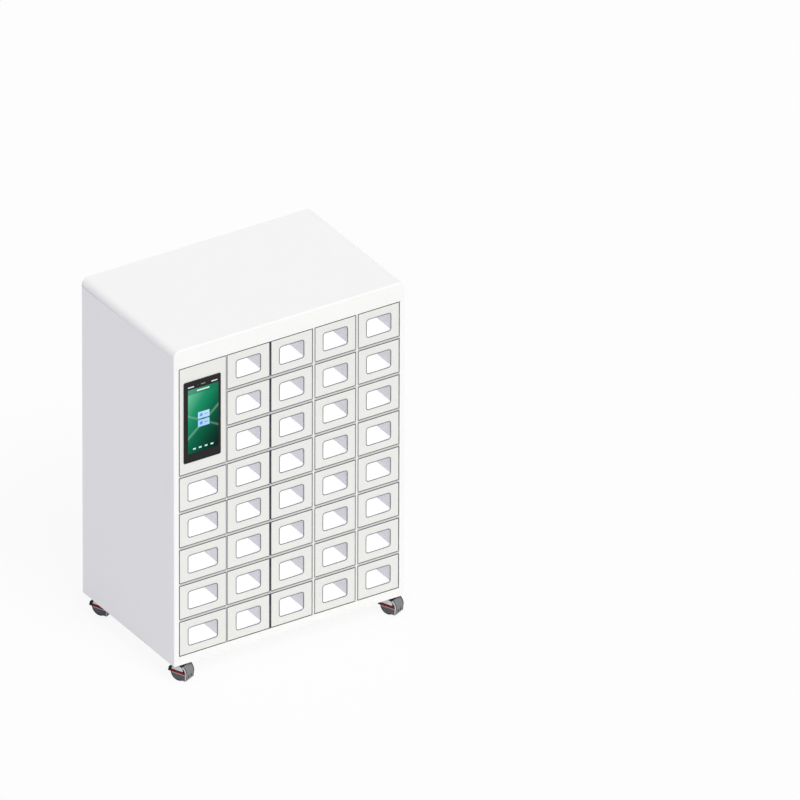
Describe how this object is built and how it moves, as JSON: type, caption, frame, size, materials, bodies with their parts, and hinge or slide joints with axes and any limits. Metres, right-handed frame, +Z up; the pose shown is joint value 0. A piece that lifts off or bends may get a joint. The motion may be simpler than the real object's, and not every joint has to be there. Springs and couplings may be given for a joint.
{
  "type": "gauge storage cabinet",
  "caption": "Tall steel storage cabinet on casters with columns of small windowed doors, a touch terminal and a header over the doors.",
  "frame": {"origin": "on the floor under the middle of the body", "axes": "+X to the right and +Y to the back as seen from the front with the doors, +Z up"},
  "size_m": [0.9347, 0.6171, 1.3152],
  "materials": {
    "white_body": "smooth white powder coat, satin",
    "white_door": "off-white powder coat, satin",
    "white_liner": "white powder coat, satin",
    "steel": "bright zinc plate",
    "black_plastic": "fine matt grain",
    "black_bezel": "gloss",
    "screen_glass": "polished cover glass over a lit display",
    "grey_plastic": "moulded, satin",
    "red_plastic": "moulded, gloss",
    "wheel_rubber": "smooth dark tread"
  },
  "bodies": {
    "cabinet": {"body_shell": "white_body", "back_panel": "white_body", "partitions": "white_liner", "shelves": "white_liner", "hinge_rods": "steel", "door_locks": "black_plastic", "terminal_fascia": "white_door", "terminal_unit": "black_bezel", "terminal_glass": "screen_glass", "power_parts": "black_plastic", "caster_plates": "steel"},
    "door_column1_row4": {"door_column1_row4": "white_door"},
    "door_column1_row5": {"door_column1_row5": "white_door"},
    "door_column1_row6": {"door_column1_row6": "white_door"},
    "door_column1_row7": {"door_column1_row7": "white_door"},
    "door_column1_row8": {"door_column1_row8": "white_door"},
    "door_column2_row1": {"door_column2_row1": "white_door"},
    "door_column2_row2": {"door_column2_row2": "white_door"},
    "door_column2_row3": {"door_column2_row3": "white_door"},
    "door_column2_row4": {"door_column2_row4": "white_door"},
    "door_column2_row5": {"door_column2_row5": "white_door"},
    "door_column2_row6": {"door_column2_row6": "white_door"},
    "door_column2_row7": {"door_column2_row7": "white_door"},
    "door_column2_row8": {"door_column2_row8": "white_door"},
    "door_column3_row1": {"door_column3_row1": "white_door"},
    "door_column3_row2": {"door_column3_row2": "white_door"},
    "door_column3_row3": {"door_column3_row3": "white_door"},
    "door_column3_row4": {"door_column3_row4": "white_door"},
    "door_column3_row5": {"door_column3_row5": "white_door"},
    "door_column3_row6": {"door_column3_row6": "white_door"},
    "door_column3_row7": {"door_column3_row7": "white_door"},
    "door_column3_row8": {"door_column3_row8": "white_door"},
    "door_column4_row1": {"door_column4_row1": "white_door"},
    "door_column4_row2": {"door_column4_row2": "white_door"},
    "door_column4_row3": {"door_column4_row3": "white_door"},
    "door_column4_row4": {"door_column4_row4": "white_door"},
    "door_column4_row5": {"door_column4_row5": "white_door"},
    "door_column4_row6": {"door_column4_row6": "white_door"},
    "door_column4_row7": {"door_column4_row7": "white_door"},
    "door_column4_row8": {"door_column4_row8": "white_door"},
    "door_column5_row1": {"door_column5_row1": "white_door"},
    "door_column5_row2": {"door_column5_row2": "white_door"},
    "door_column5_row3": {"door_column5_row3": "white_door"},
    "door_column5_row4": {"door_column5_row4": "white_door"},
    "door_column5_row5": {"door_column5_row5": "white_door"},
    "door_column5_row6": {"door_column5_row6": "white_door"},
    "door_column5_row7": {"door_column5_row7": "white_door"},
    "door_column5_row8": {"door_column5_row8": "white_door"},
    "caster_front_left_hood": {"caster_front_left_hood": "grey_plastic"},
    "caster_front_left_pedal": {"caster_front_left_pedal": "red_plastic"},
    "caster_front_left_wheels": {"caster_front_left_wheels": "wheel_rubber"},
    "caster_front_right_hood": {"caster_front_right_hood": "grey_plastic"},
    "caster_front_right_pedal": {"caster_front_right_pedal": "red_plastic"},
    "caster_front_right_wheels": {"caster_front_right_wheels": "wheel_rubber"},
    "caster_rear_left_hood": {"caster_rear_left_hood": "grey_plastic"},
    "caster_rear_left_pedal": {"caster_rear_left_pedal": "red_plastic"},
    "caster_rear_left_wheels": {"caster_rear_left_wheels": "wheel_rubber"},
    "caster_rear_right_hood": {"caster_rear_right_hood": "grey_plastic"},
    "caster_rear_right_pedal": {"caster_rear_right_pedal": "red_plastic"},
    "caster_rear_right_wheels": {"caster_rear_right_wheels": "wheel_rubber"}
  },
  "joints": [
    {"name": "door_column1_row4_hinge", "type": "hinge", "parent": "cabinet", "child": "door_column1_row4", "pos_m": [-0.4385, -0.2955, 0.7443], "axis": [0, 0, -1], "range_deg": [0, 100]},
    {"name": "door_column1_row5_hinge", "type": "hinge", "parent": "cabinet", "child": "door_column1_row5", "pos_m": [-0.4385, -0.2955, 0.6019], "axis": [0, 0, -1], "range_deg": [0, 100]},
    {"name": "door_column1_row6_hinge", "type": "hinge", "parent": "cabinet", "child": "door_column1_row6", "pos_m": [-0.4385, -0.2955, 0.4595], "axis": [0, 0, -1], "range_deg": [0, 100]},
    {"name": "door_column1_row7_hinge", "type": "hinge", "parent": "cabinet", "child": "door_column1_row7", "pos_m": [-0.4385, -0.2955, 0.3171], "axis": [0, 0, -1], "range_deg": [0, 100]},
    {"name": "door_column1_row8_hinge", "type": "hinge", "parent": "cabinet", "child": "door_column1_row8", "pos_m": [-0.4385, -0.2955, 0.1732], "axis": [0, 0, -1], "range_deg": [0, 100]},
    {"name": "door_column2_row1_hinge", "type": "hinge", "parent": "cabinet", "child": "door_column2_row1", "pos_m": [-0.246, -0.2955, 1.173], "axis": [0, 0, -1], "range_deg": [0, 100]},
    {"name": "door_column2_row2_hinge", "type": "hinge", "parent": "cabinet", "child": "door_column2_row2", "pos_m": [-0.246, -0.2955, 1.0291], "axis": [0, 0, -1], "range_deg": [0, 100]},
    {"name": "door_column2_row3_hinge", "type": "hinge", "parent": "cabinet", "child": "door_column2_row3", "pos_m": [-0.246, -0.2955, 0.8867], "axis": [0, 0, -1], "range_deg": [0, 100]},
    {"name": "door_column2_row4_hinge", "type": "hinge", "parent": "cabinet", "child": "door_column2_row4", "pos_m": [-0.246, -0.2955, 0.7443], "axis": [0, 0, -1], "range_deg": [0, 100]},
    {"name": "door_column2_row5_hinge", "type": "hinge", "parent": "cabinet", "child": "door_column2_row5", "pos_m": [-0.246, -0.2955, 0.6019], "axis": [0, 0, -1], "range_deg": [0, 100]},
    {"name": "door_column2_row6_hinge", "type": "hinge", "parent": "cabinet", "child": "door_column2_row6", "pos_m": [-0.246, -0.2955, 0.4595], "axis": [0, 0, -1], "range_deg": [0, 100]},
    {"name": "door_column2_row7_hinge", "type": "hinge", "parent": "cabinet", "child": "door_column2_row7", "pos_m": [-0.246, -0.2955, 0.3171], "axis": [0, 0, -1], "range_deg": [0, 100]},
    {"name": "door_column2_row8_hinge", "type": "hinge", "parent": "cabinet", "child": "door_column2_row8", "pos_m": [-0.246, -0.2955, 0.1732], "axis": [0, 0, -1], "range_deg": [0, 100]},
    {"name": "door_column3_row1_hinge", "type": "hinge", "parent": "cabinet", "child": "door_column3_row1", "pos_m": [-0.0695, -0.2955, 1.173], "axis": [0, 0, -1], "range_deg": [0, 100]},
    {"name": "door_column3_row2_hinge", "type": "hinge", "parent": "cabinet", "child": "door_column3_row2", "pos_m": [-0.0695, -0.2955, 1.0291], "axis": [0, 0, -1], "range_deg": [0, 100]},
    {"name": "door_column3_row3_hinge", "type": "hinge", "parent": "cabinet", "child": "door_column3_row3", "pos_m": [-0.0695, -0.2955, 0.8867], "axis": [0, 0, -1], "range_deg": [0, 100]},
    {"name": "door_column3_row4_hinge", "type": "hinge", "parent": "cabinet", "child": "door_column3_row4", "pos_m": [-0.0695, -0.2955, 0.7443], "axis": [0, 0, -1], "range_deg": [0, 100]},
    {"name": "door_column3_row5_hinge", "type": "hinge", "parent": "cabinet", "child": "door_column3_row5", "pos_m": [-0.0695, -0.2955, 0.6019], "axis": [0, 0, -1], "range_deg": [0, 100]},
    {"name": "door_column3_row6_hinge", "type": "hinge", "parent": "cabinet", "child": "door_column3_row6", "pos_m": [-0.0695, -0.2955, 0.4595], "axis": [0, 0, -1], "range_deg": [0, 100]},
    {"name": "door_column3_row7_hinge", "type": "hinge", "parent": "cabinet", "child": "door_column3_row7", "pos_m": [-0.0695, -0.2955, 0.3171], "axis": [0, 0, -1], "range_deg": [0, 100]},
    {"name": "door_column3_row8_hinge", "type": "hinge", "parent": "cabinet", "child": "door_column3_row8", "pos_m": [-0.0695, -0.2955, 0.1732], "axis": [0, 0, -1], "range_deg": [0, 100]},
    {"name": "door_column4_row1_hinge", "type": "hinge", "parent": "cabinet", "child": "door_column4_row1", "pos_m": [0.1075, -0.2955, 1.173], "axis": [0, 0, -1], "range_deg": [0, 100]},
    {"name": "door_column4_row2_hinge", "type": "hinge", "parent": "cabinet", "child": "door_column4_row2", "pos_m": [0.1075, -0.2955, 1.0291], "axis": [0, 0, -1], "range_deg": [0, 100]},
    {"name": "door_column4_row3_hinge", "type": "hinge", "parent": "cabinet", "child": "door_column4_row3", "pos_m": [0.1075, -0.2955, 0.8867], "axis": [0, 0, -1], "range_deg": [0, 100]},
    {"name": "door_column4_row4_hinge", "type": "hinge", "parent": "cabinet", "child": "door_column4_row4", "pos_m": [0.1075, -0.2955, 0.7443], "axis": [0, 0, -1], "range_deg": [0, 100]},
    {"name": "door_column4_row5_hinge", "type": "hinge", "parent": "cabinet", "child": "door_column4_row5", "pos_m": [0.1075, -0.2955, 0.6019], "axis": [0, 0, -1], "range_deg": [0, 100]},
    {"name": "door_column4_row6_hinge", "type": "hinge", "parent": "cabinet", "child": "door_column4_row6", "pos_m": [0.1075, -0.2955, 0.4595], "axis": [0, 0, -1], "range_deg": [0, 100]},
    {"name": "door_column4_row7_hinge", "type": "hinge", "parent": "cabinet", "child": "door_column4_row7", "pos_m": [0.1075, -0.2955, 0.3171], "axis": [0, 0, -1], "range_deg": [0, 100]},
    {"name": "door_column4_row8_hinge", "type": "hinge", "parent": "cabinet", "child": "door_column4_row8", "pos_m": [0.1075, -0.2955, 0.1732], "axis": [0, 0, -1], "range_deg": [0, 100]},
    {"name": "door_column5_row1_hinge", "type": "hinge", "parent": "cabinet", "child": "door_column5_row1", "pos_m": [0.282, -0.2955, 1.173], "axis": [0, 0, -1], "range_deg": [0, 100]},
    {"name": "door_column5_row2_hinge", "type": "hinge", "parent": "cabinet", "child": "door_column5_row2", "pos_m": [0.282, -0.2955, 1.0291], "axis": [0, 0, -1], "range_deg": [0, 100]},
    {"name": "door_column5_row3_hinge", "type": "hinge", "parent": "cabinet", "child": "door_column5_row3", "pos_m": [0.282, -0.2955, 0.8867], "axis": [0, 0, -1], "range_deg": [0, 100]},
    {"name": "door_column5_row4_hinge", "type": "hinge", "parent": "cabinet", "child": "door_column5_row4", "pos_m": [0.282, -0.2955, 0.7443], "axis": [0, 0, -1], "range_deg": [0, 100]},
    {"name": "door_column5_row5_hinge", "type": "hinge", "parent": "cabinet", "child": "door_column5_row5", "pos_m": [0.282, -0.2955, 0.6019], "axis": [0, 0, -1], "range_deg": [0, 100]},
    {"name": "door_column5_row6_hinge", "type": "hinge", "parent": "cabinet", "child": "door_column5_row6", "pos_m": [0.282, -0.2955, 0.4595], "axis": [0, 0, -1], "range_deg": [0, 100]},
    {"name": "door_column5_row7_hinge", "type": "hinge", "parent": "cabinet", "child": "door_column5_row7", "pos_m": [0.282, -0.2955, 0.3171], "axis": [0, 0, -1], "range_deg": [0, 100]},
    {"name": "door_column5_row8_hinge", "type": "hinge", "parent": "cabinet", "child": "door_column5_row8", "pos_m": [0.282, -0.2955, 0.1732], "axis": [0, 0, -1], "range_deg": [0, 100]},
    {"name": "caster_front_left_swivel", "type": "hinge", "parent": "cabinet", "child": "caster_front_left_hood", "pos_m": [-0.424, -0.2585, 0.099], "axis": [0, 0, 1], "continuous": true},
    {"name": "caster_front_left_roll", "type": "hinge", "parent": "caster_front_left_hood", "child": "caster_front_left_wheels", "pos_m": [-0.41721, -0.27354, 0.032], "axis": [0.9114, 0.4115, 0], "continuous": true},
    {"name": "caster_front_left_brake", "type": "hinge", "parent": "caster_front_left_hood", "child": "caster_front_left_pedal", "pos_m": [-0.40631, -0.29769, 0.0365], "axis": [-0.9114, -0.4115, 0], "range_deg": [0, 6]},
    {"name": "caster_front_right_swivel", "type": "hinge", "parent": "cabinet", "child": "caster_front_right_hood", "pos_m": [0.424, -0.2585, 0.099], "axis": [0, 0, 1], "continuous": true},
    {"name": "caster_front_right_roll", "type": "hinge", "parent": "caster_front_right_hood", "child": "caster_front_right_wheels", "pos_m": [0.43079, -0.27354, 0.032], "axis": [0.9114, 0.4115, 0], "continuous": true},
    {"name": "caster_front_right_brake", "type": "hinge", "parent": "caster_front_right_hood", "child": "caster_front_right_pedal", "pos_m": [0.4417, -0.29769, 0.0365], "axis": [-0.9114, -0.4115, 0], "range_deg": [0, 6]},
    {"name": "caster_rear_left_swivel", "type": "hinge", "parent": "cabinet", "child": "caster_rear_left_hood", "pos_m": [-0.424, 0.2585, 0.099], "axis": [0, 0, 1], "continuous": true},
    {"name": "caster_rear_left_roll", "type": "hinge", "parent": "caster_rear_left_hood", "child": "caster_rear_left_wheels", "pos_m": [-0.41721, 0.24346, 0.032], "axis": [0.9114, 0.4115, 0], "continuous": true},
    {"name": "caster_rear_left_brake", "type": "hinge", "parent": "caster_rear_left_hood", "child": "caster_rear_left_pedal", "pos_m": [-0.40631, 0.21931, 0.0365], "axis": [-0.9114, -0.4115, 0], "range_deg": [0, 6]},
    {"name": "caster_rear_right_swivel", "type": "hinge", "parent": "cabinet", "child": "caster_rear_right_hood", "pos_m": [0.424, 0.2585, 0.099], "axis": [0, 0, 1], "continuous": true},
    {"name": "caster_rear_right_roll", "type": "hinge", "parent": "caster_rear_right_hood", "child": "caster_rear_right_wheels", "pos_m": [0.43079, 0.24346, 0.032], "axis": [0.9114, 0.4115, 0], "continuous": true},
    {"name": "caster_rear_right_brake", "type": "hinge", "parent": "caster_rear_right_hood", "child": "caster_rear_right_pedal", "pos_m": [0.4417, 0.21931, 0.0365], "axis": [-0.9114, -0.4115, 0], "range_deg": [0, 6]}
  ]
}
